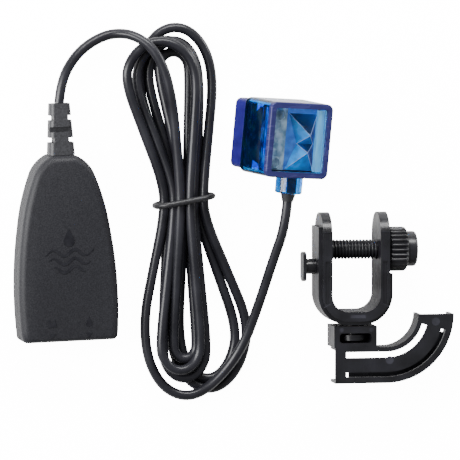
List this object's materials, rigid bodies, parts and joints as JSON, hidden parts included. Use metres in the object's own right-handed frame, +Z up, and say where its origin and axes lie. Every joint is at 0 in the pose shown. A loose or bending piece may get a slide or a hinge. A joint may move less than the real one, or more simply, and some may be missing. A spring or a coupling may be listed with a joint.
{
  "type": "aquarium level controller with sensor, rim clamp and hose guide",
  "caption": "Control box with a tied lead to a clear blue optical level sensor with its outer magnet, plus a screw rim clamp that carries a quarter-bend hose guide.",
  "frame": {"origin": "centre of the control box's back face, where it rests or is stuck down", "axes": "+X to the right across the set, +Y towards the control box's cord end, +Z up from the surface it lies on"},
  "size_m": [0.1857, 0.1601, 0.0405],
  "materials": {
    "case_black": "fine grained, semi-matte",
    "screw_steel": "zinc plated",
    "circuit_board": "green solder mask",
    "socket_black": "moulded, satin",
    "contact_brass": "plated",
    "chip_black": "moulded epoxy",
    "can_aluminium": "satin can",
    "header_white": "moulded",
    "soft_black": "soft moulded, satin",
    "lead_jacket": "smooth jacket, satin",
    "tie_black": "smooth band, satin",
    "blue_clear": "clear tinted, polished",
    "violet_plastic": "tinted, semi-gloss",
    "cyan_clear": "clear light guide",
    "rail_white": "moulded",
    "lamp_clear": "clear lens",
    "board_dark": "dark solder mask",
    "magnet_plate": "nickel plated",
    "pad_dark": "soft pad",
    "clamp_black": "moulded, semi-gloss"
  },
  "bodies": {
    "root": {"controller_front_shell": "case_black", "controller_rear_shell": "case_black", "case_screws": "screw_steel", "control_board": "circuit_board", "power_jack": "socket_black", "power_jack_pin": "contact_brass", "pump_jack": "socket_black", "pump_jack_pin": "contact_brass", "microcontroller": "chip_black", "buzzer": "chip_black", "capacitors": "can_aluminium", "pump_driver": "chip_black", "board_chips": "chip_black", "lead_header": "header_white", "strain_relief": "soft_black", "cord_lead": "lead_jacket", "cord_tail": "lead_jacket", "cord_hank": "lead_jacket", "hank_tie": "tie_black", "sensor_housing": "blue_clear", "sensor_bezel": "violet_plastic", "window_pane": "blue_clear", "prism_block": "blue_clear", "optics_shroud": "board_dark", "light_rail": "rail_white", "infrared_lamps": "lamp_clear", "light_guide": "cyan_clear", "sensor_board": "board_dark", "photo_receivers": "chip_black", "sensor_magnet": "magnet_plate", "sensor_gland": "blue_clear", "gland_boot": "soft_black"},
    "magnet_holder": {"magnet_shell": "violet_plastic", "magnet_lid": "violet_plastic", "magnet_pad": "pad_dark", "holder_magnet": "magnet_plate"},
    "clamp": {"clamp_frame": "clamp_black"},
    "washer": {"knob_washer": "soft_black"},
    "knob": {"clamp_screw": "clamp_black", "screw_knob": "clamp_black", "knob_cap": "clamp_black"},
    "hose_guide": {"tube_guide": "clamp_black"}
  },
  "joints": [
    {"name": "magnet_slide", "type": "slide", "parent": "root", "child": "magnet_holder", "axis": [0.0854, 0.9958, 0.0327], "range_m": [0, 0.03]},
    {"name": "clamp_lift", "type": "slide", "parent": "root", "child": "clamp", "axis": [0, 0, 1], "range_m": [0, 0.06]},
    {"name": "screw_advance", "type": "slide", "parent": "clamp", "child": "washer", "axis": [1, 0, 0], "range_m": [0, 0.0181]},
    {"name": "knob_turn", "type": "hinge", "parent": "washer", "child": "knob", "pos_m": [0.1334, -0.0021, 0.01], "axis": [1, 0, 0], "range_deg": [0, 4531.5]},
    {"name": "guide_swivel", "type": "hinge", "parent": "clamp", "child": "hose_guide", "pos_m": [0.12305, -0.0431, 0.01], "axis": [0, 1, 0], "range_deg": [-150, 0]}
  ],
  "couplings": [
    {"joint": "screw_advance", "follows": "knob_turn", "m_per_rad": 0.00022759}
  ]
}
